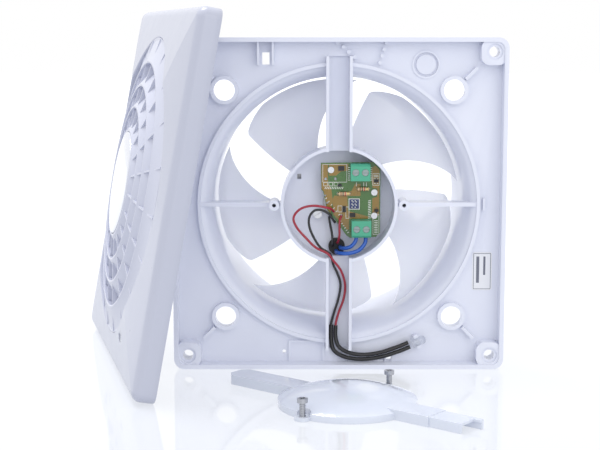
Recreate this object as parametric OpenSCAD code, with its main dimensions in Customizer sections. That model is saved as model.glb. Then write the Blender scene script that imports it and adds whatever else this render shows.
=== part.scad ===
// Bathroom extractor fan for a 150 mm duct, taken apart for service: the base stands on its lower edge,
// the front cover leans on the base's left edge, and the wiring cover lies in front with its two screws.

/* [Base] */
// Side of the square base
base_w = 190; // [180:1:195]
// Depth of the base tray from the wall to its rim
tray_d = 12.5; // [11:0.5:14]
// Thickness of the tray's rim wall
rim_t = 2.5; // [2:0.1:3]
// Outer radius of the duct spigot
spigot_r = 74.5; // [74:0.1:75]
// Distance from the rim to the spigot's far end
spigot_end = 80; // [70:1:90]
// Radius of the air inlet at its lip
inlet_r = 79; // [78:0.5:80]
// Distance of the wall screw holes from the middle, each way
wall_hole = 87; // [86:0.5:87.5]
// Distance of the four large collared holes from the middle, each way
collar_hole = 65.3; // [64.5:0.1:66]

/* [Centre pod] */
// Outer radius of the pod that holds the control board
pod_r = 33.5; // [33:0.1:34]
// Depth of the pod from the rim
pod_d = 22; // [21.5:0.5:22.5]
// Width of the wiring channels
channel_w = 15; // [14:0.5:15.5]
// Distance of the wiring cover's screw bosses from the middle
boss_x = 37.1; // [36.8:0.1:37.4]

/* [Impeller] */
// Number of blades
blades = 5; // [3:1:6]
// Radius to the blade tips
tip_r = 71; // [68:0.5:71.5]
// Outer radius of the hub
hub_r = 31; // [30.5:0.1:31.5]
// Radius of the shaft
shaft_r = 3; // [2.9:0.05:3]

/* [Front cover] */
// Side of the square front cover
cover_w = 208; // [206:1:210]
// Depth of the cover in the middle
cover_d = 24.5; // [24:0.5:25]
// Depth of its side walls
cover_edge_d = 12; // [11.5:0.5:12.5]
// Radius of the round louvre field
field_r = 86.5; // [85:0.5:87]
// Lean of the cover from upright, in degrees
cover_lean = 10.6; // [10:0.1:11]
// Turn of the cover about the vertical, in degrees
cover_yaw = 75.5; // [74:0.5:77]

/* [Wiring cover] */
// Outer radius of its dome
dome_r = 36.5; // [36.2:0.1:37]
// Height of its dome
dome_h = 11; // [10:0.5:12]
// Reach of each arm from the middle
arm_l = 78.5; // [76:0.5:80]
// Outer width of the arms
arm_w = 15.8; // [15.2:0.2:16.4]

/* [Hidden] */
$fn = 96;

floor_t = 2.5;
floor_z = floor_t - tray_d;      // front face of the tray floor, measured from the rim
duct_r = 72.6;                   // inner radius of the spigot
pod_wall = 1.8;
pod_floor_t = 2;
chan_floor_z = -12.3;            // front face of the channel floor
chan_wall = 1.7;
chan_in = channel_w - 2 * chan_wall;
chan_end = 84.5;
front_z = -2;                    // front edge of the pod and the channel walls
board_z = -12;                   // front face of the control board
board_t = 1.6;
term_h = 8.5;                    // height of a terminal block above the board
term_w = 11.2;
term_d = 9.7;
mains_at = [12.2, 18.65];        // middles of the two terminal blocks
motor_at = [12.9, -14];
pole_x = 2.75;                   // half the pitch of the terminal poles
clamp_h = 4.8;
clamp_top = board_z + 6.6;
tube_r = 8.5;                    // bearing tube of the motor flange
bearing_r = 6.5;
tube_end = -45;
stator_in = tube_r;
stator_out = 24;
stator_z = -41;
stator_t = 12;
rotor_in = 24.5;
rotor_out = 28.5;
hub_back = -50.5;
hub_front = -25;
cover_wall = 2;
facet_R = 600;                   // the cover's four sloping sides are parts of cylinders of this radius
facet_top = cover_edge_d - sqrt(facet_R * facet_R - cover_w * cover_w / 4);
dome_R = 440;                    // the louvre rings and the middle disc follow a sphere of this radius
field_z = 12.6;                  // lowest edge of the collar and the louvre grille
ring_r = [30, 44, 57, 71];       // inner radii of the four louvre rings
louvre_ribs = 20;
lens_at = [48.7, -81.4];
slat_drop = 7;                   // how far the louvre slats fall below the dome

// the layout, seen from above: the frame's origin lies under the middle of everything
base_at = [33, -1];               // middle of the base's front edge
cover_foot = base_at + [-97.6, -80];
wcover_at = base_at + [2.5, -75.7];
wcover_turn = 50.5;

// Routes of the wires, in the base's own frame: across, up, and towards the front
red_route = [
    [-2.8, -4.5, -10.4], [-4.6, -2.6, -8], [-7.3, -1.6, -6], [-14.8, -0.4, -4.8], [-22, -2.2, -4.6],
    [-26, -7.3, -4.8], [-24, -13.2, -4.9], [-18.8, -19.2, -5], [-13.3, -24.6, -5.2], [-6.6, -28.2, -5.8],
    [-3, -32.6, -6.6], [1.4, -38.6, -7.6], [3.8, -46.8, -8.4], [3, -55.3, -8.8], [0, -63.9, -9],
    [-1.6, -71, -9]
];
black_route = [
    [-2.2, -10.7, -10.4], [-4, -8, -8.6], [-5.6, -5.6, -7.9], [-9.6, -3.4, -7.4], [-13.7, -3.4, -7.2],
    [-16.8, -6.9, -7.2], [-17, -12.5, -7.4], [-14.6, -18.8, -7.8], [-10.6, -25, -8.2], [-5, -29, -8.6],
    [-3, -35.4, -9], [-0.6, -40.6, -9.4], [1.2, -47, -9.8], [0, -55.5, -10.2], [-2.4, -63.5, -10.4],
    [-4.2, -71, -10.4]
];
red_sleeve_route = [
    [-1.6, -71, -9], [-1.6, -78, -8.2], [0.4, -83.4, -7.2], [6, -86.6, -6.2], [14, -87.8, -5.9],
    [24, -86.6, -6], [34.4, -83.2, -6.2], [40.6, -80.6, -6.3]
];
black_sleeve_route = [
    [-4.2, -71, -10.4], [-4.2, -79, -9.4], [-2.6, -85.6, -8], [4, -89.4, -6.9], [14, -90.6, -6.5],
    [25, -89.2, -6.5], [35.6, -85.8, -6.5], [41.7, -83.2, -6.5]
];
blue_left_route = [
    [10.15, -18.85, -8.2], [9.6, -21.4, -7.8], [7, -24.4, -7.4], [3.6, -25.6, -8.4],
    [1.4, -26, -12], [1.2, -26, -14], [1.2, -26, -16.85]
];
blue_right_route = [
    [15.65, -18.85, -8.2], [15, -22.6, -7.4], [11.4, -26.4, -6], [6, -28, -5.4],
    [1.4, -28.3, -7], [-0.9, -28.4, -11], [-1.2, -28.4, -14], [-1.2, -28.4, -16.85]
];
motor_black_route = [
    [-4.4, -6.6, -11.2], [-5.4, -8.2, -12.6], [-4.8, -12.4, -13.6], [-3.9, -17, -14],
    [-3.5, -21, -14.1], [-3.4, -23.8, -14.4], [-3.4, -25.3, -15.5], [-3.4, -25.4, -16.85]
];
motor_red_route = [
    [1.6, -6.9, -10.4], [0.6, -9.4, -8.6], [0.4, -14, -8], [0.4, -18.6, -9.4],
    [-0.3, -22.4, -12.4], [-0.6, -23.4, -14.6], [-0.6, -23.4, -16.85]
];

// ---- helpers ----

module rounded_square(w, h, r) {
    square([w - 2 * r, h], center = true);
    square([w, h - 2 * r], center = true);
    for (x = [-1, 1], y = [-1, 1]) {
        translate([x * (w / 2 - r), y * (h / 2 - r)]) circle(r, $fn = 48);
    }
}

// a slab from z0 up to z1
module slab(z0, z1) {
    translate([0, 0, z0]) linear_extrude(z1 - z0) children();
}

// a box from corner a to corner b
module box(a, b) {
    translate(a) cube(b - a);
}

// a tube or disc about z
module tube(z0, z1, r, hole = 0) {
    slab(z0, z1) difference() {
        circle(r);
        if (hole > 0) circle(hole);
    }
}

// the base's own frame: x across, y up from the duct's axis, z towards the front from the rim
module on_base() {
    translate([base_at[0], base_at[1], base_w / 2]) rotate([90, 0, 0]) children();
}

// the front cover's own frame: x across, y up, z outwards from its rim, origin at its middle
module on_cover() {
    translate([cover_foot[0], cover_foot[1], 0])
        rotate([0, 0, -cover_yaw]) rotate([-cover_lean, 0, 0]) rotate([90, 0, 0])
            translate([-cover_w / 2, cover_w / 2, 0]) children();
}

// the wiring cover's own frame: its arms lie along y, its screws stand on the x axis
module on_wiring_cover() {
    translate([wcover_at[0], wcover_at[1], 0]) rotate([0, 0, wcover_turn]) children();
}

function unit(v) = v / norm(v);
function tangent(p, i) = unit(p[min(i + 1, len(p) - 1)] - p[max(i - 1, 0)]);
function side_of(t) = unit(cross(t, abs(t[0]) > 0.9 ? [0, 1, 0] : [1, 0, 0]));

// a wire of radius r swept along a route, with flat ends
module wire(route, r, sides = 8) {
    n = len(route);
    points = [
        for (i = [0 : n - 1])
            let (t = tangent(route, i), a = side_of(t), b = cross(t, a))
                for (k = [0 : sides - 1])
                    route[i] + r * (cos(360 * k / sides) * a + sin(360 * k / sides) * b)
    ];
    walls = [
        for (i = [0 : n - 2], k = [0 : sides - 1])
            let (k2 = (k + 1) % sides, a = i * sides, b = (i + 1) * sides)
                each [[a + k, b + k, b + k2], [a + k, b + k2, a + k2]]
    ];
    caps = [
        [for (k = [0 : sides - 1]) k],
        [for (k = [sides - 1 : -1 : 0]) (n - 1) * sides + k]
    ];
    polyhedron(points, concat(walls, caps));
}

// ---- base ----

module spigot_profile() {
    mouth = [for (t = [0 : 15 : 90]) [duct_r + (inlet_r - duct_r) * (1 - sin(t)), -8 - 18 * (1 - cos(t))]];
    polygon(concat(
        [[inlet_r + 2, -6], [inlet_r, -6]],
        mouth,
        [[duct_r, -spigot_end], [spigot_r, -spigot_end], [spigot_r, -27], [inlet_r + 2, -tray_d]]
    ));
}

module channel(sign) {
    y0 = pod_r - 3;
    scale([1, sign, 1]) {
        box([-channel_w / 2, y0, chan_floor_z - 1.7], [channel_w / 2, chan_end, chan_floor_z]);
        for (x = [-channel_w / 2, channel_w / 2 - chan_wall]) {
            box([x, y0, chan_floor_z - 1.7], [x + chan_wall, chan_end, front_z]);
        }
    }
}

module channel_space(sign) {
    scale([1, sign, 1]) box([-chan_in / 2, 26, chan_floor_z], [chan_in / 2, chan_end - 0.01, 1]);
}

module corner_pad(sx, sy) {
    far = base_w / 2 - 1;
    near = far - 14.5;
    translate([sx * (far + near) / 2, sy * (far + near) / 2, -tray_d])
        linear_extrude(tray_d - 1.2) rounded_square(14.5, 14.5, 5);
    // collar of the large hole and the web between them
    translate([sx * collar_hole, sy * collar_hole, -tray_d]) cylinder(h = tray_d - 6, r = 8);
    translate([sx * (collar_hole + 9.5), sy * (collar_hole + 9.5), -tray_d])
        rotate([0, 0, sx * sy * 45]) translate([-4.6, -0.9, 0]) cube([9.2, 1.8, tray_d - 5]);
}

module cable_teeth() {
    for (p = [[-1, 92], [2.3, 89.6], [5.2, 86.8], [8.6, 84]]) {
        translate([p[0], p[1], floor_z - 1]) cylinder(h = 5, r = 1.1, $fn = 24);
    }
    for (p = [[26.5, 92], [25.3, 88.2], [24.2, 84.6], [23, 80.8]]) {
        translate([p[0], p[1], floor_z - 1]) cylinder(h = 5, r = 1.1, $fn = 24);
    }
}

module base_features() {
    cable_teeth();
    // raised ring round the cable knock-out
    translate([49.3, 79.7, 0]) tube(floor_z - 1, floor_z + 0.8, 8, 7);
    // low frames for the cover's snap at the lower edge and for the cable clamp
    for (r = [[-29, -93, -8, -80], [6, -92.6, 26, -91.4]]) {
        difference() {
            box([r[0], r[1], floor_z - 1], [r[2], r[3], floor_z + 1.2]);
            box([r[0] + 1.2, r[1] - 3, floor_z - 2], [r[2] - 1.2, r[3] - 1.2, floor_z + 2]);
        }
    }
    // guides either side of the upper snap slot
    box([-46.5, 79.5, floor_z - 1], [-45.3, 93, -3]);
    box([-38.2, 79.5, floor_z - 1], [-37, 93, -3]);
    // guides either side of the lower snap slot
    box([26.9, -93, floor_z - 1], [27.7, -87, -8.2]);
    box([31.1, -93, floor_z - 1], [31.9, -87, -8.2]);
    // short rib on the right
    box([82.6, -3.5, floor_z - 1], [84, 3.5, floor_z + 2.5]);
}

module base_cuts() {
    for (x = [-1, 1], y = [-1, 1]) {
        translate([x * wall_hole, y * wall_hole, -20]) cylinder(h = 30, r = 3);
        translate([x * wall_hole, y * wall_hole, -2.4]) cylinder(h = 5, r = 4.5);
        translate([x * collar_hole, y * collar_hole, -20]) cylinder(h = 30, r = 6);
    }
    // upper and lower snap slots and the locating hole
    box([-43.7, 79.7, -20], [-39.6, 86.5, 5]);
    box([28, -91.7, -20], [30.8, -88, 5]);
    translate([-31.5, -86.8, -20]) cylinder(h = 30, r = 1.15);
    // groove of the knock-out
    translate([49.3, 79.7, 0]) tube(floor_z - 1.2, floor_z + 3, 6.9, 5.6);
}

module cross_rib(sx) {
    // rib from the pod to the inlet, with the wiring cover's screw boss on it
    box([min(sx * 32.6, sx * 79.8), -1.15, -17], [max(sx * 32.6, sx * 79.8), 1.15, -7]);
    translate([sx * boss_x, 0, -17]) cylinder(h = 17 + front_z, r = 3, $fn = 48);
}

module base_housing() {
    color("gainsboro") on_base() difference() {
        union() {
            slab(-tray_d, floor_z) difference() {
                rounded_square(base_w, base_w, 6);
                circle(inlet_r + 1);
            }
            slab(-tray_d, 0) difference() {
                rounded_square(base_w, base_w, 6);
                rounded_square(base_w - 2 * rim_t, base_w - 2 * rim_t, 4);
            }
            difference() {
                rotate_extrude($fn = 144) spigot_profile();
                channel_space(1);
                channel_space(-1);
            }
            intersection() {
                union() {
                    for (x = [-1, 1], y = [-1, 1]) corner_pad(x, y);
                    base_features();
                }
                slab(-tray_d, 0) rounded_square(base_w - 0.02, base_w - 0.02, 6);
            }
            channel(1);
            channel(-1);
            tube(-pod_d, front_z, pod_r, pod_r - pod_wall);
            tube(-pod_d, pod_floor_t - pod_d, pod_r - 0.5);
            cross_rib(1);
            cross_rib(-1);
            // posts that carry the control board
            for (p = [[20.5, 6.5], [20.5, -7], [-4.5, 19.5]]) {
                translate([p[0], p[1], -pod_d + 1]) cylinder(h = pod_d - 1 + board_z - board_t, r = 2.4, $fn = 48);
            }
        }
        channel_space(1);
        channel_space(-1);
        base_cuts();
        // opening for the motor's front bearing, and the hole of the grommet
        translate([0, 0, -30]) cylinder(h = 15, r = tube_r + 0.6);
        translate([-0.9, -25.8, -30]) cylinder(h = 15, r = 4, $fn = 48);
        for (x = [-1, 1]) {
            translate([x * boss_x, 0, -14]) cylinder(h = 15, r = 1.1, $fn = 32);
        }
        for (a = [90, 210, 330]) {
            rotate([0, 0, a]) translate([14, 0, -30]) cylinder(h = 15, r = 1.7, $fn = 32);
        }
        for (p = [[20.5, 6.5], [20.5, -7], [-4.5, 19.5]]) {
            translate([p[0], p[1], -19]) cylinder(h = 12, r = 0.95, $fn = 32);
        }
        // square vent in the pod floor
        box([-23.9, 13.4, -30], [-21.6, 16.4, -15]);
    }
}

// ---- motor ----

module motor_flange() {
    color("silver") on_base() difference() {
        union() {
            tube(-pod_d - 1.6, -pod_d, 19);
            tube(tube_end, -pod_d + 1.4, tube_r);
        }
        translate([0, 0, -60]) cylinder(h = 50, r = bearing_r - 1);
        translate([0, 0, -60]) cylinder(h = 60 - 40, r = bearing_r);
        translate([0, 0, -27]) cylinder(h = 20, r = bearing_r);
        for (a = [90, 210, 330]) {
            rotate([0, 0, a]) translate([14, 0, -30]) cylinder(h = 15, r = 1.25, $fn = 32);
        }
    }
}

module flange_screws() {
    color("dimgray") on_base() for (a = [90, 210, 330]) {
        rotate([0, 0, a]) translate([14, 0, 0]) {
            translate([0, 0, -24.6]) cylinder(h = 24.6 - pod_d + pod_floor_t, r = 1.25, $fn = 32);
            difference() {
                translate([0, 0, pod_floor_t - pod_d]) cylinder(h = 1.6, r = 2.6, $fn = 32);
                box([-3, -0.3, pod_floor_t - pod_d + 0.8], [3, 0.3, 0]);
            }
        }
    }
}

module stator_core() {
    color("slategray") on_base() slab(stator_z, stator_z + stator_t) {
        difference() {
            circle(12.5);
            circle(stator_in);
        }
        for (a = [45 : 90 : 315]) rotate([0, 0, a]) {
            translate([11.5, -3.2]) square([10, 6.4]);
            intersection() {
                difference() {
                    circle(stator_out);
                    circle(21);
                }
                polygon([[0, 0], [30, -18], [30, 18]]);
            }
        }
    }
}

// one winding: a square ring round a stator pole
module winding(inner, outer, x0, x1, zin, zout) {
    mid = stator_z + stator_t / 2;
    difference() {
        box([x0, -outer, mid - zout], [x1, outer, mid + zout]);
        box([x0 - 1, -inner, mid - zin], [x1 + 1, inner, mid + zin]);
    }
}

module coil_former() {
    color("ivory") on_base() for (a = [45 : 90 : 315]) rotate([0, 0, a]) {
        winding(3.25, 4.2, 14.1, 18.8, 6.05, 6.8);
        winding(3.25, 6.6, 13.3, 14.1, 6.05, 8);
        winding(3.25, 6.6, 18.8, 19.4, 6.05, 8);
    }
}

module stator_coils() {
    color("chocolate") on_base() for (a = [45 : 90 : 315]) rotate([0, 0, a]) {
        winding(4.25, 6.3, 14.15, 18.75, 6.85, 7.8);
    }
}

module bearing(z0, hole) {
    translate([0, 0, z0]) rotate_extrude() {
        difference() {
            translate([hole, 0]) square([bearing_r - hole, 5]);
            translate([4.4, -1]) square([0.9, 1.5]);
            translate([4.4, 4.5]) square([0.9, 1.5]);
        }
    }
}

module front_bearing() {
    color("gainsboro") on_base() bearing(-27, shaft_r + 0.03);
}

module rear_bearing() {
    color("gainsboro") on_base() bearing(-45, shaft_r + 0.03);
}

module shaft() {
    color("silver") on_base() difference() {
        translate([0, 0, hub_back - 1]) cylinder(h = 33.1, r = shaft_r);
        translate([0, 0, -21]) rotate_extrude() translate([shaft_r - 0.5, 0]) square([2, 0.8]);
    }
}

module retaining_clip() {
    color("dimgray") on_base() translate([0, 0, -20.96]) linear_extrude(0.7) difference() {
        circle(5.2);
        circle(shaft_r - 0.45);
        translate([0, -1.6]) square([10, 3.2]);
    }
}

module thrust_washer() {
    color("goldenrod") on_base() tube(-45.9, -45.2, 5.4, shaft_r + 0.02);
}

module rotor_ring() {
    color("darkgray") on_base() difference() {
        tube(-45, -27.5, rotor_out, rotor_in);
        // bars of the cage show as shallow slots
        for (a = [0 : 20 : 340]) rotate([0, 0, a]) {
            box([rotor_in - 1, -0.5, -43], [rotor_in + 0.6, 0.5, -29.5]);
        }
    }
}

// blade surface: s runs from the leading edge to the trailing edge, q from the hub to the tip
function blade_r(q) = (hub_r - 0.6) + q * (tip_r - hub_r + 0.6);
function lead_a(q) = 32 * pow(1 - q, 0.8);
function trail_a(q) = q < 0.85 ? 71 - 8 * q : 64.2 - 16 * pow((q - 0.85) / 0.15, 1.6);
function blade_a(s, q) = lead_a(q) + s * (trail_a(q) - lead_a(q));
function blade_z(s, q) = -28.4 - 18.6 * s - 2.2 * sin(180 * s) - 0.6 * q;
function blade_t(s, q) = (1.0 - 0.35 * q) * (0.5 + 0.5 * sin(180 * min(s * 1.4 + 0.1, 1)));

module blade() {
    ns = 8;
    nq = 6;
    row = ns + 1;
    sheet = row * (nq + 1);
    points = [
        for (side = [1, -1], j = [0 : nq], i = [0 : ns])
            let (s = i / ns, q = j / nq, a = blade_a(s, q), r = blade_r(q))
                [r * cos(a), r * sin(a), blade_z(s, q) + side * blade_t(s, q)]
    ];
    front = [for (j = [0 : nq - 1], i = [0 : ns - 1])
        let (p = j * row + i) each [[p, p + row + 1, p + row], [p, p + 1, p + row + 1]]];
    back = [for (f = front) [for (k = [2, 1, 0]) f[k] + sheet]];
    edges = concat(
        [for (i = [0 : ns - 1]) [i, i + 1]],
        [for (i = [0 : ns - 1]) [nq * row + i + 1, nq * row + i]],
        [for (j = [0 : nq - 1]) [(j + 1) * row, j * row]],
        [for (j = [0 : nq - 1]) [j * row + ns, (j + 1) * row + ns]]
    );
    rim = [for (e = edges) each [[e[0], e[1] + sheet, e[1]], [e[0], e[0] + sheet, e[1] + sheet]]];
    polyhedron(points, concat(front, back, rim));
}

module impeller() {
    color("white") on_base() {
        difference() {
            union() {
                tube(hub_back, hub_front, hub_r, rotor_out);
                tube(hub_back, hub_back + 2.3, hub_r);
                tube(hub_back, -46, 7);
            }
            translate([0, 0, -60]) cylinder(h = 20, r = shaft_r);
        }
        for (k = [0 : blades - 1]) rotate([0, 0, 8.9 + 360 / blades * k]) blade();
    }
}

// ---- control board ----

module board_outline() {
    polygon([
        [-10.3, 23.5], [20, 24], [24, 20], [24, -17], [21.5, -19.5], [6.5, -20], [4.5, -18.5],
        [-1.6, -10], [-6.6, -3.8], [-9, 7], [-10, 8]
    ]);
}

module control_board() {
    color("seagreen") on_base() difference() {
        slab(board_z - board_t, board_z) board_outline();
        for (p = [[20.5, 6.5], [20.5, -7], [-4.5, 19.5]]) {
            translate([p[0], p[1], -20]) cylinder(h = 15, r = 1.05, $fn = 32);
        }
        // plated holes of the terminal that isn't fitted
        for (x = [-7.4, -1.8]) {
            translate([x, 14.2, -20]) cylinder(h = 15, r = 0.6, $fn = 32);
        }
    }
}

module board_screws() {
    color("gainsboro") on_base() for (p = [[20.5, 6.5], [20.5, -7], [-4.5, 19.5]]) {
        translate([p[0], p[1], 0]) {
            translate([0, 0, -18.5]) cylinder(h = 18.5 + board_z, r = 0.95, $fn = 32);
            difference() {
                translate([0, 0, board_z]) cylinder(h = 1.2, r = 1.8, $fn = 32);
                box([-2, -0.25, board_z + 0.7], [2, 0.25, board_z + 2]);
                box([-0.25, -2, board_z + 0.7], [0.25, 2, board_z + 2]);
            }
        }
    }
}

// axial resistor lying on the board from a to b
module resistor(a, b) {
    along = b - a;
    l = norm(along);
    turn = atan2(along[1], along[0]);
    translate([a[0], a[1], board_z + 1.35]) rotate([0, 0, turn]) rotate([0, 90, 0]) {
        translate([0, 0, 1]) cylinder(h = l - 2, r = 0.35, $fn = 24);
        translate([0, 0, l / 2 - 3.1]) cylinder(h = 6.2, r = 1.15, $fn = 32);
    }
    for (e = [1.3, l - 1.3]) {
        translate([a[0] + cos(turn) * e, a[1] + sin(turn) * e, board_z])
            cylinder(h = 1.35, r = 0.35, $fn = 24);
    }
}

module resistors() {
    color("tan") on_base() {
        resistor([-1.8, 5.8], [8, 5.8]);
        resistor([9.4, 8.6], [18.8, 8.6]);
    }
}

module chip_parts() {
    color("black") on_base() {
        for (p = [[21.6, 13.2, 2.6, 1.6], [21.8, -4, 2.4, 1.5], [3.2, -3.2, 2, 3.4], [8, -6.6, 3.2, 2.2],
                  [0.6, 10.6, 2.2, 1.3], [1.4, 20.4, 3.4, 2.6]]) {
            box([p[0] - p[2] / 2, p[1] - p[3] / 2, board_z], [p[0] + p[2] / 2, p[1] + p[3] / 2, board_z + 1]);
        }
    }
}

module board_sticker() {
    color("midnightblue") on_base() translate([8.95, -0.25, 0])
        slab(board_z, board_z + 0.3) rounded_square(6.3, 6.3, 0.4);
}

// two-pole terminal block; the wires enter on the side that dir points to
module terminal(at, dir) {
    translate([at[0], at[1], 0]) difference() {
        box([-term_w / 2, -term_d / 2, board_z], [term_w / 2, term_d / 2, board_z + term_h]);
        // chamfer along the wire side's top edge
        translate([0, dir * term_d / 2, board_z + term_h]) rotate([45, 0, 0])
            cube([term_w + 1, 1.8, 1.8], center = true);
        for (x = [-pole_x, pole_x]) {
            translate([x, 0, board_z + 3]) cylinder(h = 10, r = 2, $fn = 48);
            box([x - 2.2, -2.2, board_z - 1], [x + 2.2, 2.2, board_z + 6.8]);
            // wire entry
            box([x - 1.6, min(0, dir * 6), board_z + 1.9], [x + 1.6, max(0, dir * 6), board_z + 5.5]);
        }
    }
}

module mains_terminal() {
    color("darkcyan") on_base() terminal(mains_at, 1);
}

module motor_terminal() {
    color("darkcyan") on_base() terminal(motor_at, -1);
}

module terminal_screw(at, x) {
    on_base() translate([at[0] + x, at[1], 0]) difference() {
        union() {
            translate([0, 0, board_z + 7]) cylinder(h = 1.3, r = 1.85, $fn = 48);
            translate([0, 0, board_z + 3.6]) cylinder(h = 4, r = 1.25, $fn = 48);
        }
        box([-2, -0.3, board_z + 7.6], [2, 0.3, board_z + 9]);
    }
}

module mains_screw_left() {
    color("silver") terminal_screw(mains_at, -pole_x);
}

module mains_screw_right() {
    color("silver") terminal_screw(mains_at, pole_x);
}

module motor_screw_left() {
    color("silver") terminal_screw(motor_at, -pole_x);
}

module motor_screw_right() {
    color("silver") terminal_screw(motor_at, pole_x);
}

// cage that the screw draws up against the wire
module clamp(at, x) {
    on_base() translate([at[0] + x, at[1], 0]) difference() {
        box([-2, -1.9, clamp_top - clamp_h], [2, 1.9, clamp_top]);
        box([-1.4, -3, clamp_top - clamp_h + 0.6], [1.4, 3, clamp_top - 0.7]);
        translate([0, 0, clamp_top - 2]) cylinder(h = 5, r = 1.3, $fn = 48);
    }
}

module mains_clamp_left() {
    color("gold") clamp(mains_at, -pole_x);
}

module mains_clamp_right() {
    color("gold") clamp(mains_at, pole_x);
}

module motor_clamp_left() {
    color("gold") clamp(motor_at, -pole_x);
}

module motor_clamp_right() {
    color("gold") clamp(motor_at, pole_x);
}

// ---- wires ----

module wire_grommet() {
    color("black") on_base() translate([-0.9, -25.8, 0]) rotate_extrude($fn = 48) difference() {
        union() {
            translate([0, -23]) square([4, 5]);
            translate([0, pod_floor_t - pod_d]) square([4.8, 3.1]);
        }
        translate([0, -24]) square([2.2, 4.6]);
    }
}

module blue_wire_left() {
    color("royalblue") on_base() wire(blue_left_route, 1.15);
}

module blue_wire_right() {
    color("royalblue") on_base() wire(blue_right_route, 1.15);
}

module motor_lead_black() {
    color("black") on_base() wire(motor_black_route, 0.7);
}

module motor_lead_red() {
    color("red") on_base() wire(motor_red_route, 0.65);
}

module led_wire_red() {
    color("red") on_base() wire(red_route, 0.7);
}

module led_wire_black() {
    color("black") on_base() wire(black_route, 0.7);
}

module led_sleeve_red() {
    color("black") on_base() wire(red_sleeve_route, 1.2);
}

module led_sleeve_black() {
    color("black") on_base() wire(black_sleeve_route, 1.2);
}

module on_lamp() {
    on_base() translate([42.6, -81.35, -6.4]) rotate([0, 0, 21]) rotate([0, 90, 0]) children();
}

module led_lamp() {
    color("aliceblue") on_lamp() {
        cylinder(h = 1, r = 2.9, $fn = 48);
        translate([0, 0, 1]) cylinder(h = 5.1, r = 2.5, $fn = 48);
        translate([0, 0, 6.1]) sphere(2.5, $fn = 48);
    }
}

module led_clip() {
    color("gainsboro") on_base() translate([45.9, -80.1, 0]) rotate([0, 0, 21]) difference() {
        box([-1.3, -4.2, floor_z], [1.3, 4.2, -5.4]);
        translate([-3, 0, -6.4]) rotate([0, 90, 0]) cylinder(h = 6, r = 2.55, $fn = 48);
    }
}

module rating_label() {
    color("white") on_base() translate([83.1, -39.2, 0])
        slab(floor_z, floor_z + 0.3) rounded_square(11.5, 22.4, 1.5);
}

// ---- front cover ----

// the body of the cover, four sloping sides over a square, made smaller by t all round
module cover_body(t) {
    intersection() {
        slab(t > 0 ? -1 : 0, cover_d + 5) rounded_square(cover_w - 2 * t, cover_w - 2 * t, 6 - t);
        sloping_pair(t);
        rotate([0, 0, 90]) sloping_pair(t);
    }
}

module sloping_pair(t) {
    translate([0, 0, facet_top]) rotate([90, 0, 0])
        cylinder(h = cover_w + 20, r = facet_R - t, center = true, $fn = 256);
}

function face_z(r) = cover_d - dome_R + sqrt(dome_R * dome_R - r * r);
function facet_z(m) = facet_top + sqrt(facet_R * facet_R - m * m);

module front_cover() {
    color("gainsboro") on_cover() {
        difference() {
            cover_body(0);
            difference() {
                cover_body(cover_wall);
                // collar that carries the louvre grille
                tube(field_z, cover_d, field_r + 1.8);
            }
            translate([0, 0, -1]) cylinder(h = cover_d + 10, r = field_r, $fn = 144);
            translate([lens_at[0], lens_at[1], 0]) linear_extrude(40) rounded_square(9, 5, 2.45);
        }
        // snap hooks
        snap_hook(-41.6, 83.1, 1);
        snap_hook(29.4, -89.9, -1);
    }
}

// hook that springs into a slot of the base
module snap_hook(x, y, dir) {
    translate([x, y, 0]) {
        box([-1.1, -0.8, 0.5], [1.1, 0.8, facet_z(abs(y)) - 1]);
        box([-1.1, min(-0.8, dir * 1.5), 0.5], [1.1, max(0.8, dir * 1.5), 1.8]);
    }
}

module slat_profile(r0, r1, z1) {
    z0 = face_z(r0) - 0.4;
    polygon([[r0, z0], [r0 + 1.7, z0 - 0.3], [r1, z1 + 1.5], [r1, z1], [r0, z0 - 3.2]]);
}

module louvre_grille() {
    color("gainsboro") on_cover() {
        rotate_extrude($fn = 144) for (i = [0 : 3]) {
            r0 = ring_r[i];
            r1 = i < 3 ? ring_r[i + 1] - 2.4 : field_r - 1;
            slat_profile(r0 + 0.05, r1, i < 3 ? face_z(r1) - slat_drop : field_z + 0.5);
        }
        // outer band that fits the collar of the cover
        rotate_extrude($fn = 144) translate([field_r - 1.5, field_z]) square([1.45, 2.2]);
        for (k = [0 : louvre_ribs - 1]) rotate([0, 0, 12 + 360 / louvre_ribs * k])
            rotate([90, 0, 0]) translate([0, 0, -0.6]) linear_extrude(1.2) {
                for (i = [0 : 3]) {
                    r0 = ring_r[i];
                    r1 = i < 3 ? ring_r[i + 1] : field_r;
                    end = i < 3 ? r1 + 0.4 : r1 - 0.5;
                    polygon([
                        [r0 + 1, face_z(r0) - 2], [end, i < 3 ? face_z(r1) - 2.2 : field_z + 1.8],
                        [end, i < 3 ? face_z(r1) - slat_drop + 0.8 : field_z + 0.9], [r0 + 1, face_z(r0) - 2.8]
                    ]);
                }
            }
        // ledge behind the centre disc
        tube(face_z(30) - 3.4, face_z(30) - 2.4, ring_r[0] + 0.5, 22);
    }
}

module centre_disc() {
    r = ring_r[0] - 0.15;
    bottom = face_z(r) - 2.3;
    color("gainsboro") on_cover() rotate_extrude() polygon(concat(
        [[0, cover_d - 2], [r - 2, cover_d - 2.4], [r - 2, bottom], [r, bottom]],
        [for (k = [6 : -1 : 0]) [r * k / 6, face_z(r * k / 6)]]
    ));
}

module indicator_lens() {
    color("lightcyan") on_cover() translate([lens_at[0], lens_at[1], 0])
        slab(facet_z(-lens_at[1]) - 2.4, facet_z(-lens_at[1]) - 0.7) rounded_square(8.9, 4.9, 2.4);
}

// ---- wiring cover ----

module dome(r, h, t) {
    // short upright wall under a shallow cap
    wall_h = 3.5;
    cap_R = (r * r + (h - wall_h) * (h - wall_h)) / (2 * (h - wall_h));
    intersection() {
        translate([0, 0, t > 0 ? -1 : 0]) cylinder(h = h + 1, r = r - t);
        translate([0, 0, h - cap_R]) sphere(cap_R - t, $fn = 160);
    }
}

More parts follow.
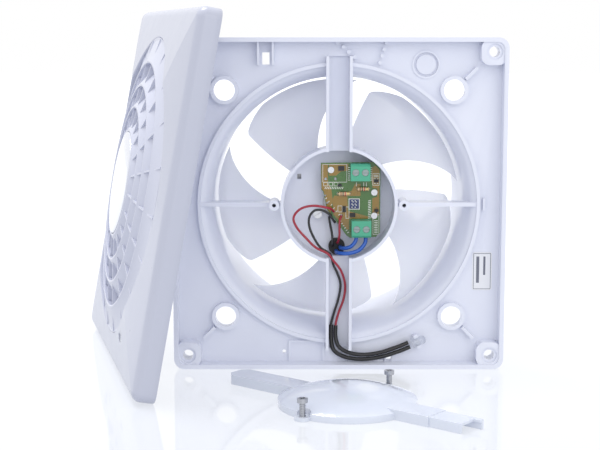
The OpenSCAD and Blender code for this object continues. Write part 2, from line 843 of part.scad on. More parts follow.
module arm(w, y0, y1, h, r = 0) {
    translate([-w / 2, y0, r > 0 ? -1 : 0]) cube([w, y1 - y0, h + (r > 0 ? 1 : 0)]);
}

module screw_well(r, z0, z1) {
    for (x = [-1, 1]) translate([x * boss_x, 0, z0]) cylinder(h = z1 - z0, r = r, $fn = 48);
}

module wiring_cover() {
    color("lightsteelblue") on_wiring_cover() difference() {
        union() {
            difference() {
                union() {
                    dome(dome_r, dome_h, 0);
                    // upper arm with chamfered corners, lower arm that narrows past a step
                    arm(arm_w, 30, arm_l, 5.4);
                    arm(arm_w, -56, -30, 5.4);
                    arm(arm_w - 1.4, -arm_l, -55, 5.1);
                }
                union() {
                    dome(dome_r, dome_h, 1.7);
                    arm(arm_w - 3.4, 28, arm_l - 1.5, 3.9, 1);
                    arm(arm_w - 3.4, -54.5, -28, 3.9, 1);
                    arm(arm_w - 4.8, -arm_l - 1, -54, 3.6, 1);
                }
            }
            // walls of the two screw wells and the ears that the screws pass through
            intersection() {
                union() {
                    screw_well(5.6, 0, dome_h);
                    screw_well(4.3, 0, 2);
                }
                union() {
                    dome(dome_r, dome_h, 0);
                    screw_well(4.3, 0, 2);
                }
            }
        }
        screw_well(4.3, 2, dome_h + 1);
        screw_well(1.7, -1, 3);
        // chamfered corners of the upper arm's tip
        for (x = [-1, 1]) translate([x * 8.4, arm_l, -1]) rotate([0, 0, 45])
            translate([-3, -3, 0]) cube([6, 6, 10]);
        // notch in the lower arm's tip where the lead comes out
        box([-8.1, -arm_l - 1, -1], [4.4, -arm_l + 4, 6]);
    }
}

module cover_screw(x) {
    on_wiring_cover() translate([x * boss_x, 0, 0]) difference() {
        union() {
            translate([0, 0, 0.2]) cylinder(h = 9, r = 1.45, $fn = 48);
            translate([0, 0, 9.1]) cylinder(h = 2.1, r = 2.75, $fn = 48);
        }
        box([-1.9, -0.35, 10], [1.9, 0.35, 12]);
        box([-0.35, -1.9, 10], [0.35, 1.9, 12]);
    }
}

module cover_screw_front() {
    color("dimgray") cover_screw(-1);
}

module cover_screw_back() {
    color("dimgray") cover_screw(1);
}

base_housing();
motor_flange();
flange_screws();
stator_core();
coil_former();
stator_coils();
front_bearing();
rear_bearing();
shaft();
retaining_clip();
thrust_washer();
rotor_ring();
impeller();
control_board();
board_screws();
resistors();
chip_parts();
board_sticker();
mains_terminal();
motor_terminal();
mains_screw_left();
mains_screw_right();
motor_screw_left();
motor_screw_right();
mains_clamp_left();
mains_clamp_right();
motor_clamp_left();
motor_clamp_right();
wire_grommet();
blue_wire_left();
blue_wire_right();
motor_lead_black();
motor_lead_red();
led_wire_red();
led_wire_black();
led_sleeve_red();
led_sleeve_black();
led_lamp();
led_clip();
rating_label();
front_cover();
louvre_grille();
centre_disc();
indicator_lens();
wiring_cover();
cover_screw_front();
cover_screw_back();
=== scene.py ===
"""Bathroom extractor fan opened for service: looks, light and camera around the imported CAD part."""
import bpy
import bmesh
import math
from mathutils import Matrix, Vector


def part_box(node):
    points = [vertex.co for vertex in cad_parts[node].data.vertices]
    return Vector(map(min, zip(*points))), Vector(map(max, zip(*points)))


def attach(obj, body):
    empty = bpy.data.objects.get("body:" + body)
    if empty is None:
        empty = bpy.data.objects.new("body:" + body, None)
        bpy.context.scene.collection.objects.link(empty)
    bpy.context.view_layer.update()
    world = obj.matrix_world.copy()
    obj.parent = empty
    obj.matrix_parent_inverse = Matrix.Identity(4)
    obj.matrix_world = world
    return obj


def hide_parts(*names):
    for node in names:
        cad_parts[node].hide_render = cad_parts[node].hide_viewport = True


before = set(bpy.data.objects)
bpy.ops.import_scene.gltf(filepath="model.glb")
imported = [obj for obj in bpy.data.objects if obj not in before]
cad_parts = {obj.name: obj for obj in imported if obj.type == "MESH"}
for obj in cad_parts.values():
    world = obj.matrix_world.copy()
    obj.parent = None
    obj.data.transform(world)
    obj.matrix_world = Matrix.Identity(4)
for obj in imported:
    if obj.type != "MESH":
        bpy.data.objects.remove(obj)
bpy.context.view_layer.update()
scene = bpy.context.scene
MM = 0.001

# the base's own frame: x across, y up from the duct's axis, z towards the front from the rim, in mm
base_lo, base_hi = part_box("base_housing")
BASE = Vector(((base_lo.x + base_hi.x) / 2, base_lo.y, (base_lo.z + base_hi.z) / 2))


def on_base(x, y, z):
    return BASE + Vector((x, -z, y)) * MM


# ---------------------------------------------------------------- camera
cam = bpy.data.objects.new("camera", bpy.data.cameras.new("camera"))
scene.collection.objects.link(cam)
scene.camera = cam
cam.data.sensor_width = 36
cam.data.lens = 81.4
cam.data.clip_start = 0.05
cam.data.clip_end = 20
cam.location = BASE + Vector((-0.0223, -0.765, 0.0964))
cam.rotation_euler = (math.radians(90 - 7.98), 0, 0)


# ---------------------------------------------------------------- helpers
def link(o):
    scene.collection.objects.link(o)
    return o


def smooth(me, angle=32):
    for p in me.polygons:
        p.use_smooth = True
    me.set_sharp_from_angle(angle=math.radians(angle))


def mesh_object(name, bm, angle=32):
    bmesh.ops.recalc_face_normals(bm, faces=bm.faces)
    me = bpy.data.meshes.new(name)
    bm.to_mesh(me)
    bm.free()
    smooth(me, angle)
    return link(bpy.data.objects.new(name, me))


def finish_piece(o, body, look, replaces=()):
    """Its material, the CAD body it rides on, and the CAD nodes it stands for."""
    o.data.materials.clear()
    o.data.materials.append(look)
    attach(o, body)
    if replaces:
        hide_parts(*replaces)


def softened(node, name, width, angle=35, segments=2):
    """A copy of a CAD node with its sharp edges rounded off, as moulding leaves them."""
    bm = bmesh.new()
    bm.from_mesh(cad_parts[node].data)
    bmesh.ops.remove_doubles(bm, verts=bm.verts, dist=2e-6)
    bmesh.ops.dissolve_limit(bm, angle_limit=math.radians(0.2), verts=bm.verts, edges=bm.edges)
    o = mesh_object(name, bm, angle)
    m = o.modifiers.new("edge", "BEVEL")
    m.width = width * MM
    m.segments = segments
    m.limit_method = "ANGLE"
    m.angle_limit = math.radians(angle)
    m.use_clamp_overlap = True
    m.harden_normals = True
    return o


def catmull(points, steps=6):
    """A smooth line through the points."""
    p = [Vector(q) for q in points]
    p = [2 * p[0] - p[1]] + p + [2 * p[-1] - p[-2]]
    out = []
    for i in range(1, len(p) - 2):
        for k in range(steps):
            t = k / steps
            out.append(0.5 * ((2 * p[i]) + (p[i + 1] - p[i - 1]) * t
                              + (2 * p[i - 1] - 5 * p[i] + 4 * p[i + 1] - p[i + 2]) * t * t
                              + (3 * p[i] - p[i - 1] - 3 * p[i + 1] + p[i + 2]) * t ** 3))
    out.append(p[-2])
    return out


def wire_curve(name, route, radius):
    """A round wire along a route given in the base's frame, in mm."""
    cu = bpy.data.curves.new(name, "CURVE")
    cu.dimensions = "3D"
    cu.bevel_depth = radius * MM
    cu.bevel_resolution = 4
    cu.use_fill_caps = True
    pts = catmull([on_base(*q) for q in route])
    sp = cu.splines.new("POLY")
    sp.points.add(len(pts) - 1)
    for a, q in zip(sp.points, pts):
        a.co = (*q, 1)
    sp.use_smooth = True
    return link(bpy.data.objects.new(name, cu))


# ---------------------------------------------------------------- materials
def material(name):
    m = bpy.data.materials.new(name)
    m.use_nodes = True
    nt = m.node_tree
    nt.nodes.clear()
    out = nt.nodes.new("ShaderNodeOutputMaterial")
    bsdf = nt.nodes.new("ShaderNodeBsdfPrincipled")
    nt.links.new(bsdf.outputs[0], out.inputs[0])
    return m, nt, bsdf


def add(nt, kind, **values):
    n = nt.nodes.new(kind)
    for k, v in values.items():
        if k in n.inputs:
            n.inputs[k].default_value = v
        else:
            setattr(n, k, v)
    return n


def coords(nt, scale=(1, 1, 1)):
    tc = add(nt, "ShaderNodeTexCoord")
    mp = add(nt, "ShaderNodeMapping")
    mp.inputs["Scale"].default_value = scale
    nt.links.new(tc.outputs["Object"], mp.inputs["Vector"])
    return mp.outputs[0]


def ramp(nt, source, stops):
    r = add(nt, "ShaderNodeValToRGB")
    el = r.color_ramp.elements
    while len(el) < len(stops):
        el.new(0.5)
    for e, (pos, col) in zip(el, stops):
        e.position = pos
        e.color = (*col, 1)
    nt.links.new(source, r.inputs[0])
    return r.outputs[0]


COAT_ROUGHNESS = 0.08
GRAIN_HEIGHT = 0.00005      # metres


def finish_surface(nt, bsdf, colour, rough, fine, depth, vary, coat=0.0, stretch=(1, 1, 1)):
    """Colour that drifts a little, roughness that varies, and a fine moulded or drawn grain."""
    v = coords(nt, stretch)
    big = add(nt, "ShaderNodeTexNoise", Scale=22.0, Detail=3.0, Roughness=0.55)
    nt.links.new(v, big.inputs["Vector"])
    lo = tuple(c * (1 - vary) for c in colour)
    hi = tuple(min(1, c * (1 + vary)) for c in colour)
    nt.links.new(ramp(nt, big.outputs[0], [(0.3, lo), (0.7, hi)]), bsdf.inputs["Base Color"])
    mid = add(nt, "ShaderNodeTexNoise", Scale=90.0, Detail=4.0, Roughness=0.6)
    nt.links.new(v, mid.inputs["Vector"])
    a, b = rough
    uneven = ramp(nt, mid.outputs[0], [(0.25, (a,) * 3), (0.75, (b,) * 3)])
    nt.links.new(uneven, bsdf.inputs["Roughness"])
    grain = add(nt, "ShaderNodeTexNoise", Scale=fine, Detail=2.0, Roughness=0.5)
    nt.links.new(v, grain.inputs["Vector"])
    bump = add(nt, "ShaderNodeBump", Strength=depth, Distance=GRAIN_HEIGHT)
    nt.links.new(grain.outputs[0], bump.inputs["Height"])
    nt.links.new(bump.outputs[0], bsdf.inputs["Normal"])
    bsdf.inputs["Coat Weight"].default_value = coat
    bsdf.inputs["Coat Roughness"].default_value = COAT_ROUGHNESS


def plastic(name, colour, rough=(0.26, 0.4), fine=2600.0, depth=0.12, coat=0.25, vary=0.015,
            sss=0.0, painted_glow=0.0):
    """Moulded plastic; sss lets light sink in, and glow is painted light: an even emission in the plastic's
    colour standing in for the light that shines through.
    """
    m, nt, b = material(name)
    finish_surface(nt, b, colour, rough, fine, depth, vary, coat)
    b.inputs["IOR"].default_value = 1.5
    if sss:
        b.inputs["Subsurface Weight"].default_value = sss
        b.inputs["Subsurface Radius"].default_value = (1.0, 0.95, 1.1)
        b.inputs["Subsurface Scale"].default_value = 0.004
    if painted_glow:
        b.inputs["Emission Color"].default_value = (*colour, 1)
        b.inputs["Emission Strength"].default_value = painted_glow
    return m


def metal(name, colour, rough=(0.2, 0.35), fine=3000.0, depth=0.15, stretch=(1, 1, 1), vary=0.06):
    m, nt, b = material(name)
    finish_surface(nt, b, colour, rough, fine, depth, vary, stretch=stretch)
    b.inputs["Metallic"].default_value = 1.0
    return m


def clear(name, colour, rough, weight=0.92):
    m, nt, b = material(name)
    v = coords(nt)
    n = add(nt, "ShaderNodeTexNoise", Scale=900.0, Detail=2.0)
    nt.links.new(v, n.inputs["Vector"])
    uneven = ramp(nt, n.outputs[0], [(0.3, (rough * 0.7,) * 3), (0.8, (rough * 1.5,) * 3)])
    nt.links.new(uneven, b.inputs["Roughness"])
    b.inputs["Base Color"].default_value = (*colour, 1)
    b.inputs["Transmission Weight"].default_value = weight
    b.inputs["IOR"].default_value = 1.52
    return m


M = {
    "base": plastic("base_plastic", (0.75, 0.775, 0.88), (0.28, 0.34), coat=0.2, vary=0.006),
    # the impeller's glow is painted light, standing in for light that shines through its thin blades
    "impeller": plastic("impeller_plastic", (0.80, 0.82, 0.89), (0.12, 0.18),
                        fine=1200, depth=0.04, coat=0.5, sss=0.6, vary=0.006, painted_glow=0.05),
    # the cover's lavender-white plastic is set darker than the base's to stand in for the shade on its face
    # and walls: its own tone plus painted shade
    "cover": plastic("cover_plastic", (0.48, 0.50, 0.60), (0.27, 0.35),
                     fine=3200, depth=0.2, coat=0.2, vary=0.006),
    "grille": plastic("grille_plastic", (0.55, 0.57, 0.68), (0.3, 0.38),
                      fine=3200, depth=0.2, coat=0.15, vary=0.006),
    "wiring": plastic("wiring_cover_plastic", (0.65, 0.69, 0.79), (0.1, 0.2),
                      fine=1500, depth=0.05, coat=0.6, sss=0.15),
    "teal": plastic("terminal_plastic", (0.07, 0.40, 0.25), (0.35, 0.5),
                    fine=4000, depth=0.25, coat=0.1, vary=0.06),
    "ivory": plastic("coil_former_plastic", (0.75, 0.68, 0.5), (0.4, 0.55)),
    "chip": plastic("chip_epoxy", (0.018, 0.018, 0.022), (0.4, 0.6),
                    fine=5000, depth=0.4, coat=0.0, vary=0.2),
    "resistor": plastic("resistor_lacquer", (0.62, 0.44, 0.24), (0.2, 0.3), coat=0.5, vary=0.08),
    "rubber": plastic("grommet_rubber", (0.012, 0.012, 0.013), (0.45, 0.65),
                      fine=4000, depth=0.3, coat=0.0, vary=0.2),
    "blue": plastic("wire_blue", (0.012, 0.105, 0.50), (0.25, 0.35),
                    fine=3000, depth=0.1, coat=0.3, vary=0.06),
    "red": plastic("wire_red", (0.36, 0.012, 0.035), (0.25, 0.38),
                   fine=3000, depth=0.1, coat=0.3, vary=0.06),
    "black": plastic("wire_black", (0.012, 0.012, 0.014), (0.25, 0.4),
                     fine=3000, depth=0.12, coat=0.3, vary=0.15),
    "sleeve": plastic("heat_shrink", (0.010, 0.010, 0.012), (0.3, 0.5),
                      fine=2200, depth=0.35, coat=0.15, vary=0.2),
    "label": plastic("label_paper", (0.80, 0.81, 0.85), (0.4, 0.5),
                     fine=6000, depth=0.1, coat=0.0, vary=0.01),
    "zinc": metal("screw_zinc", (0.55, 0.56, 0.59), (0.22, 0.4)),
    "terminal_steel": metal("terminal_steel", (0.26, 0.31, 0.31), (0.3, 0.45)),
    "cover_screw": metal("cover_screw_steel", (0.42, 0.43, 0.46), (0.2, 0.38)),
    "brass": metal("clamp_brass", (0.68, 0.52, 0.26), (0.25, 0.4)),
    "shaft": metal("ground_steel", (0.68, 0.69, 0.71), (0.12, 0.25), stretch=(1, 8, 1)),
    "clip": metal("spring_steel", (0.22, 0.22, 0.24), (0.25, 0.4)),
    "bronze": metal("sintered_bronze", (0.62, 0.42, 0.2), (0.4, 0.55), fine=5000, depth=0.5),
    "flange": metal("cast_flange", (0.6, 0.61, 0.63), (0.35, 0.55), fine=2500, depth=0.4),
    "rotor": metal("rotor_cage", (0.5, 0.51, 0.53), (0.3, 0.45)),
    "steel_stack": metal("lamination_edges", (0.32, 0.33, 0.36), (0.35, 0.5),
                         fine=1800, depth=0.6, stretch=(1, 12, 1)),
    "copper": metal("enamelled_copper", (0.62, 0.24, 0.10), (0.2, 0.35), fine=2200, depth=0.6),
    "lamp": clear("lamp_epoxy", (0.93, 0.95, 0.99), 0.03),
    "lens": clear("lens_window", (0.86, 0.9, 0.93), 0.25, 0.75),
    "disc": plastic("cover_disc_plastic", (0.64, 0.66, 0.74), (0.12, 0.22),
                    fine=2600, depth=0.08, coat=0.5),
    "copper_mask": plastic("board_copper_areas", (0.27, 0.16, 0.02), (0.2, 0.35),
                           fine=2200, depth=0.2, coat=0.4, vary=0.15),
    "print": plastic("silkscreen_white", (0.72, 0.74, 0.68), (0.4, 0.55),
                     fine=5000, depth=0.2, coat=0.0, vary=0.06),
    "label_ink": plastic("label_ink", (0.16, 0.17, 0.22), (0.4, 0.5),
                         fine=5000, depth=0.1, coat=0.0, vary=0.1),
    "solder": metal("solder_tin", (0.74, 0.74, 0.73), (0.18, 0.35), fine=2500, depth=0.3),
    "band_brown": plastic("band_brown", (0.22, 0.07, 0.03), (0.2, 0.3), coat=0.4, vary=0.08),
    "band_black": plastic("band_black", (0.02, 0.02, 0.02), (0.2, 0.3), coat=0.4, vary=0.1),
    "band_red": plastic("band_red", (0.5, 0.03, 0.02), (0.2, 0.3), coat=0.4, vary=0.08),
    "band_gold": metal("band_gold", (0.62, 0.46, 0.15), (0.25, 0.35)),
    "board": plastic("board_resist", (0.05, 0.145, 0.025), (0.2, 0.35),
                     fine=2500, depth=0.15, coat=0.4, vary=0.12),
    "sticker": plastic("sticker_print", (0.02, 0.035, 0.14), (0.3, 0.4), vary=0.1),
}

# ---------------------------------------------------------------- cords first
RED = [(-2.8, -4.5, -10.4), (-4.6, -2.6, -8), (-7.3, -1.6, -6), (-14.8, -0.4, -4.8), (-22, -2.2, -4.6),
       (-26, -7.3, -4.8), (-24, -13.2, -4.9), (-18.8, -19.2, -5), (-13.3, -24.6, -5.2), (-6.6, -28.2, -5.8),
       (-3, -32.6, -6.6), (1.4, -38.6, -7.6), (3.8, -46.8, -8.4), (3, -55.3, -8.8), (0, -63.9, -9)]
RED_SLEEVE = [(-1.6, -71, -9), (-1.6, -78, -8.2), (0.4, -83.4, -7.2), (6, -86.6, -6.2), (14, -87.8, -5.9),
              (24, -86.6, -6), (34.4, -83.2, -6.2), (40.6, -80.6, -6.3)]
BLACK = [(-2.2, -10.7, -10.4), (-4, -8, -8.6), (-5.6, -5.6, -7.9), (-9.6, -3.4, -7.4), (-13.7, -3.4, -7.2),
         (-16.8, -6.9, -7.2), (-17, -12.5, -7.4), (-14.6, -18.8, -7.8), (-10.6, -25, -8.2), (-5, -29, -8.6),
         (-3, -35.4, -9), (-0.6, -40.6, -9.4), (1.2, -47, -9.8), (0, -55.5, -10.2), (-2.4, -63.5, -10.4)]
BLACK_SLEEVE = [(-4.2, -71, -10.4), (-4.2, -79, -9.4), (-2.6, -85.6, -8), (4, -89.4, -6.9), (14, -90.6, -6.5),
                (25, -89.2, -6.5), (35.6, -85.8, -6.5), (41.7, -83.2, -6.5)]


LEAD_R, SLEEVE_R = 0.7, 1.2      # mm
for colour, route, sleeve in (("red", RED, RED_SLEEVE), ("black", BLACK, BLACK_SLEEVE)):
    lead = wire_curve(f"lamp_lead_{colour}", route + sleeve, LEAD_R)
    finish_piece(lead, "base", M[colour], replaces=[f"led_wire_{colour}"])
    jacket = wire_curve(f"lamp_sleeve_{colour}", sleeve, SLEEVE_R)
    finish_piece(jacket, "base", M["sleeve"], replaces=[f"led_sleeve_{colour}"])

BLUE_LEFT = [(10.15, -18.85, -8.2), (9.6, -21.4, -7.8), (7, -24.4, -7.4), (3.6, -25.6, -8.4),
             (1.4, -26, -12), (1.2, -26, -14), (1.2, -26, -16.85)]
BLUE_RIGHT = [(15.65, -18.85, -8.2), (15, -22.6, -7.4), (11.4, -26.4, -6), (6, -28, -5.4),
              (1.4, -28.3, -7), (-0.9, -28.4, -11), (-1.2, -28.4, -14), (-1.2, -28.4, -16.85)]
MOTOR_BLACK = [(-4.4, -6.6, -11.2), (-5.4, -8.2, -12.6), (-4.8, -12.4, -13.6), (-3.9, -17, -14),
               (-3.5, -21, -14.1), (-3.4, -23.8, -14.4), (-3.4, -25.3, -15.5), (-3.4, -25.4, -16.85)]
MOTOR_RED = [(1.6, -6.9, -10.4), (0.6, -9.4, -8.6), (0.4, -14, -8), (0.4, -18.6, -9.4),
             (-0.3, -22.4, -12.4), (-0.6, -23.4, -14.6), (-0.6, -23.4, -16.85)]
BLUE_R = 1.15
SHORT_LEADS = [("blue_wire_left", BLUE_LEFT, BLUE_R, "blue"), ("blue_wire_right", BLUE_RIGHT, BLUE_R, "blue"),
               ("motor_lead_black", MOTOR_BLACK, 0.7, "black"), ("motor_lead_red", MOTOR_RED, 0.65, "red")]
for name, route, r, colour in SHORT_LEADS:
    wire = wire_curve(name + "_round", route, r)
    finish_piece(wire, "base", M[colour], replaces=[name])

# ---------------------------------------------------------------- CAD nodes and their materials
# nodes that a smoother piece replaces are given theirs too
NODE_MATERIALS = {
    "flange": ["motor_flange"],
    "zinc": ["flange_screws", "board_screws"],
    "steel_stack": ["stator_core"],
    "ivory": ["coil_former"],
    "copper": ["stator_coils"],
    "shaft": ["front_bearing", "rear_bearing", "shaft"],
    "clip": ["retaining_clip"],
    "bronze": ["thrust_washer"],
    "rotor": ["rotor_ring"],
    "board": ["control_board"],
    "resistor": ["resistors"],
    "chip": ["chip_parts"],
    "sticker": ["board_sticker"],
    "terminal_steel": ["mains_screw_left", "mains_screw_right", "motor_screw_left", "motor_screw_right"],
    "brass": ["mains_clamp_left", "mains_clamp_right", "motor_clamp_left", "motor_clamp_right"],
    "rubber": ["wire_grommet"],
    "lamp": ["led_lamp"],
    "base": ["led_clip", "base_housing"],
    "label": ["rating_label"],
    "lens": ["indicator_lens"],
    "teal": ["mains_terminal", "motor_terminal"],
    "impeller": ["impeller"],
    "cover": ["front_cover", "centre_disc"],
    "grille": ["louvre_grille"],
    "wiring": ["wiring_cover"],
    "cover_screw": ["cover_screw_front", "cover_screw_back"],
}
for key, nodes in NODE_MATERIALS.items():
    for node in nodes:
        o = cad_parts[node]
        o.data.materials.clear()
        o.data.materials.append(M[key])

# ---------------------------------------------------------------- softened skins
for node, slot, key, width in (("base_housing", "base_plastic", "base", 0.35),
                               ("mains_terminal", "terminal_green", "teal", 0.2),
                               ("motor_terminal", "terminal_green", "teal", 0.2)):
    finish_piece(softened(node, node + "_moulded", width), "base", M[key], replaces=[node])

# ---------------------------------------------------------------- frames of the separate parts, in mm
HALF = 104.0                    # half the side of the front cover
# places on the floor are measured from the point below the base's origin; turns are in degrees
COVER_FOOT = (-97.6, -80)       # the corner of the cover that stands nearest the front
COVER_YAW, COVER_LEAN = 75.5, 10.6
WIRING_AT, WIRING_TURN = (2.5, -75.7), 50.5
BOSS_X = 37.1                   # distance of the wiring cover's screws from its middle


def turn(degrees, axis):
    return Matrix.Rotation(math.radians(degrees), 4, axis)


def on_floor(x, y):
    return Matrix.Translation((BASE.x + x * MM, BASE.y + y * MM, 0))


ON_BASE = Matrix.Translation(BASE) @ turn(90, "X") @ Matrix.Scale(MM, 4)
ON_COVER = (on_floor(*COVER_FOOT) @ turn(-COVER_YAW, "Z") @ turn(-COVER_LEAN, "X") @ turn(90, "X")
            @ Matrix.Scale(MM, 4) @ Matrix.Translation((-HALF, HALF, 0)))
ON_WIRING = on_floor(*WIRING_AT) @ turn(WIRING_TURN, "Z") @ Matrix.Scale(MM, 4)


# ---------------------------------------------------------------- mesh building, in a part's own mm
def placed(name, bm, matrix, angle=32):
    bmesh.ops.remove_doubles(bm, verts=bm.verts, dist=1e-4)
    bm.transform(matrix)
    return mesh_object(name, bm, angle)


def circle(r, steps, x=0.0, y=0.0):
    """Points round a circle."""
    angles = [2 * math.pi * k / steps for k in range(steps)]
    return [(x + r * math.cos(a), y + r * math.sin(a)) for a in angles]


def skin_rows(bm, rows):
    """Quads between rings of points; the last ring joins the first."""
    rings = [[bm.verts.new(q) for q in row] for row in rows]
    for a, b in zip(rings, rings[1:] + rings[:1]):
        n = len(a)
        for k in range(n):
            bm.faces.new([a[k], a[(k + 1) % n], b[(k + 1) % n], b[k]])
    return rings


def lathe(bm, profile, steps, x=0.0, y=0.0):
    """A closed profile of (r, z) turned about an upright axis at (x, y)."""
    skin_rows(bm, [[(*q, z) for q in circle(r, steps, x, y)] for r, z in profile])


def plate(bm, low, top):
    """A solid between two rings of the same number of points."""
    a = [bm.verts.new(q) for q in low]
    b = [bm.verts.new(q) for q in top]
    n = len(a)
    bm.faces.new(a[::-1])
    bm.faces.new(b)
    for k in range(n):
        bm.faces.new([a[k], a[(k + 1) % n], b[(k + 1) % n], b[k]])


def prism(bm, outline, z0, z1):
    """An outline of (x, y) points raised from z0 to z1."""
    plate(bm, [(x, y, z0) for x, y in outline], [(x, y, z1) for x, y in outline])


def rectangle(x0, y0, x1, y1):
    return [(x0, y0), (x1, y0), (x1, y1), (x0, y1)]


def strip(bm, start, end, width, z0, z1):
    """A straight flat bar from start to end."""
    a, b = Vector(start), Vector(end)
    d = b - a
    n = Vector((-d.y, d.x)).normalized() * width / 2
    prism(bm, [a + n, a - n, b - n, b + n], z0, z1)


# ---------------------------------------------------------------- front cover
CORNER_R = 6.0
EDGE_D = 12.0                   # height at which the sloping sides would meet the side walls
FOLD = 4.5                      # radius of the fold between them
WALL = 2.0
FIELD = 86.5                    # radius of the louvre field
COLLAR = 1.8
FACET_R, DOME_R, TOP = 600.0, 440.0, 24.5
FACET_TOP = EDGE_D - math.sqrt(FACET_R ** 2 - HALF ** 2)
COLLAR_LOW = 12.35
HOLE_CHAMFER = 0.6
LENS_AT, LENS_R, LENS_REACH = (48.7, -81.4), 2.45, 2
SNAP_HOOKS = ((-41.6, 83.1, 1), (29.4, -89.9, -1))
SIDE_STEPS = 16                 # points along half a side of the square


def hip(x, y, drop=0.0):
    """Height of the four sloping sides."""
    return FACET_TOP - drop + math.sqrt(FACET_R ** 2 - max(abs(x), abs(y)) ** 2)


def crown(r):
    """Height of the sphere that the louvre rings and the disc follow."""
    return TOP - DOME_R + math.sqrt(DOME_R ** 2 - r * r)


def square_ring(half, corner):
    """Points round a square with rounded corners, the same count for any size."""
    flat = half - corner
    quarter = [(half, u / SIDE_STEPS * flat) for u in range(SIDE_STEPS)]
    for a in range(0, 91, 9):
        quarter.append((flat + corner * math.cos(math.radians(a)), flat + corner * math.sin(math.radians(a))))
    quarter += [(u / SIDE_STEPS * flat, half) for u in range(SIDE_STEPS - 1, 0, -1)]
    ring = []
    for q in range(4):
        c, s = math.cos(math.pi / 2 * q), math.sin(math.pi / 2 * q)
        ring += [(c * x - s * y, s * x + c * y) for x, y in quarter]
    return ring


def round_ring(r):
    """A circle with its points on the rays through the square's points."""
    scaled = [(x, y, r / math.hypot(x, y)) for x, y in square_ring(HALF, CORNER_R)]
    return [(x * f, y * f) for x, y, f in scaled]


def between(inner, outer, t):
    return [(a[0] + (b[0] - a[0]) * t, a[1] + (b[1] - a[1]) * t) for a, b in zip(inner, outer)]


def cover_shell():
    # the sloping sides, from the louvre field out to the fold
    field = round_ring(FIELD + HOLE_CHAMFER)
    fold = square_ring(HALF - FOLD, CORNER_R - FOLD)
    rows = [[(x, y, hip(x, y) - HOLE_CHAMFER) for x, y in round_ring(FIELD)]]
    for t in (0.0, 0.12, 0.25, 0.4, 0.55, 0.7, 0.85, 1.0):
        rows.append([(x, y, hip(x, y)) for x, y in between(field, fold, t)])
    face_rows = len(rows)
    # the fold
    for a in range(10, 91, 10):
        inset = FOLD * (1 - math.sin(math.radians(a)))
        z = hip(HALF - inset, 0) - FOLD * (1 - math.cos(math.radians(a)))
        rows.append([(x, y, z) for x, y in square_ring(HALF - inset, CORNER_R - inset)])
    # down the side wall, round its lower edge and up inside: inset, height, corner radius
    for inset, z, corner in ((0, 4, 6), (0, 0.6, 6), (0.4, 0.1, 5.6), (WALL, 0.1, 4), (WALL, 6, 4),
                             (WALL + 0.6, 8.2, 3.4), (WALL + 2.6, 10.2, 2)):
        rows.append([(x, y, z) for x, y in square_ring(HALF - inset, corner)])
    # the inner skin, and the collar round the louvre field
    collar = round_ring(FIELD + COLLAR)
    inner_fold = square_ring(HALF - WALL - 3, 1.6)
    for t in (1.0, 0.66, 0.33, 0.0):
        rows.append([(x, y, hip(x, y, WALL + 0.1)) for x, y in between(collar, inner_fold, t)])
    rows.append([(x, y, COLLAR_LOW) for x, y in round_ring(FIELD + COLLAR - 0.05)])
    rows.append([(x, y, COLLAR_LOW) for x, y in round_ring(FIELD)])
    bm = bmesh.new()
    rings = skin_rows(bm, rows)
    for x, y, out in SNAP_HOOKS:
        prism(bm, rectangle(x - 1.1, y - 0.8, x + 1.1, y + 0.8), 0.5, hip(y, 0) - 1)
        prism(bm, rectangle(x - 1.1, y + out * 0.8, x + 1.1, y + out * 1.5), 0.6, 1.8)
    bm.verts.index_update()
    creases = {v.index for ring in rings[:face_rows] for v in ring if abs(abs(v.co.x) - abs(v.co.y)) < 1e-4}
    bm.transform(ON_COVER)
    shell = mesh_object("cover_shell", bm, 40)
    for e in shell.data.edges:
        if e.vertices[0] in creases and e.vertices[1] in creases:
            e.use_edge_sharp = True
    return shell


def cut_lens_slot(shell):
    bm = bmesh.new()
    outline = []
    for side, first in ((1, -90), (-1, 90)):
        for a in range(first, first + 181, 20):
            outline.append((LENS_AT[0] + side * LENS_REACH + LENS_R * math.cos(math.radians(a)),
                            LENS_AT[1] + LENS_R * math.sin(math.radians(a))))
    prism(bm, outline, 5, 30)
    bm.transform(ON_COVER)
    cutter = mesh_object("slot_cutter", bm)
    cut = shell.modifiers.new("slot", "BOOLEAN")
    cut.operation = "DIFFERENCE"
    cut.object = cutter
    cut.solver = "EXACT"
    cut_mesh = bpy.data.meshes.new_from_object(shell.evaluated_get(bpy.context.evaluated_depsgraph_get()))
    shell.modifiers.clear()
    shell.data = cut_mesh
    bpy.data.objects.remove(cutter)


shell = cover_shell()
cut_lens_slot(shell)
finish_piece(shell, "front_cover", M["cover"], replaces=["front_cover"])

# ---------------------------------------------------------------- louvres and middle disc
RINGS = (30, 44, 57, 71)        # inner radii of the louvre rings
SLAT_GAP = 2.4
SLAT_DROP = 7
RIBS = 20
RIB_START = 12                  # degrees
RIB_HALF = 0.55


def slat(bm, r0, r1, z1):
    """A leaning slat with a rounded bead at its front edge."""
    z0 = crown(r0) - 0.4
    bead = [(0.1, -0.35), (0.35, -0.08), (0.8, 0), (1.35, -0.12), (1.7, -0.45)]
    tail = [(r1 - 0.3, z1 + 1.6), (r1, z1 + 1.3), (r1, z1 + 0.2), (r1 - 0.3, z1)]
    lathe(bm, [(r0 + r, z0 + z) for r, z in bead] + tail + [(r0 + 0.1, z0 - 3.2)], 200)


def ring_band(bm, r0, r1, z0, z1, steps):
    lathe(bm, [(r0, z0), (r1, z0), (r1, z1), (r0, z1)], steps)


def rib(bm, angle, side):
    """A thin upright plate with the given (r, z) outline."""
    c, s = math.cos(angle), math.sin(angle)
    low, top = [[(r * c - w * s, r * s + w * c, z) for r, z in side] for w in (-RIB_HALF, RIB_HALF)]
    plate(bm, low, top)


